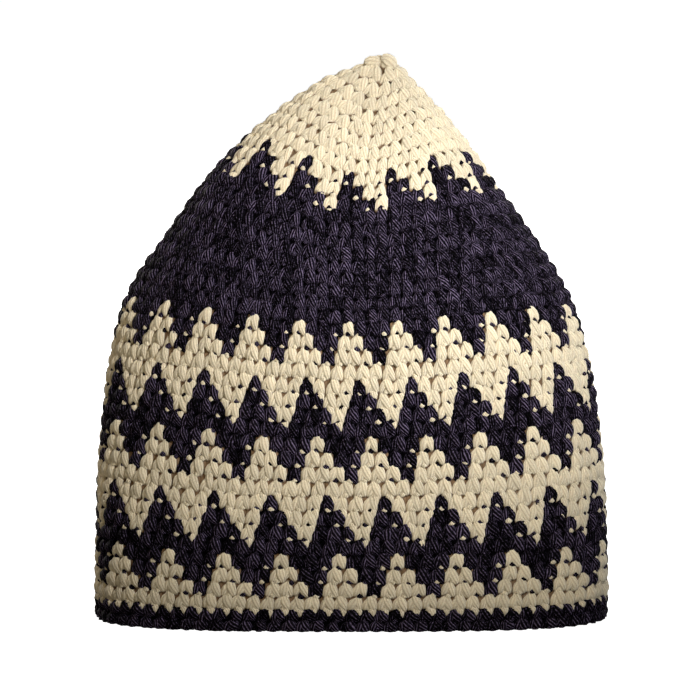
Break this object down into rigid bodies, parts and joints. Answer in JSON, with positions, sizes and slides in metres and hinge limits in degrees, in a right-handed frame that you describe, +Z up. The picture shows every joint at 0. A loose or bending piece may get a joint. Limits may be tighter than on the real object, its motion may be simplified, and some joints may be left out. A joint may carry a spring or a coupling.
{
  "type": "crocheted kufi",
  "caption": "Tall pointed crocheted cap in cream and navy zigzag bands, hollow and open at the rim, standing on its edge.",
  "frame": {"origin": "on the surface it stands on, under the middle of the cap's box", "axes": "+Z up to the tip, +X along the long side of the flattened rim, to the right as seen from the front, -Y to the front"},
  "size_m": [0.2016, 0.088, 0.2186],
  "materials": {
    "cream_yarn": "cream cotton yarn, crocheted, matt with a soft sheen on the strands",
    "navy_yarn": "very dark navy cotton yarn, crocheted, matt with a soft sheen on the strands"
  },
  "bodies": {
    "root": {"crown_peak": "cream_yarn", "crown_field": "navy_yarn", "zigzag_upper": "cream_yarn", "band_upper": "navy_yarn", "zigzag_lower": "cream_yarn", "band_lower": "navy_yarn", "points_hem": "cream_yarn", "edging": "navy_yarn"}
  },
  "joints": []
}
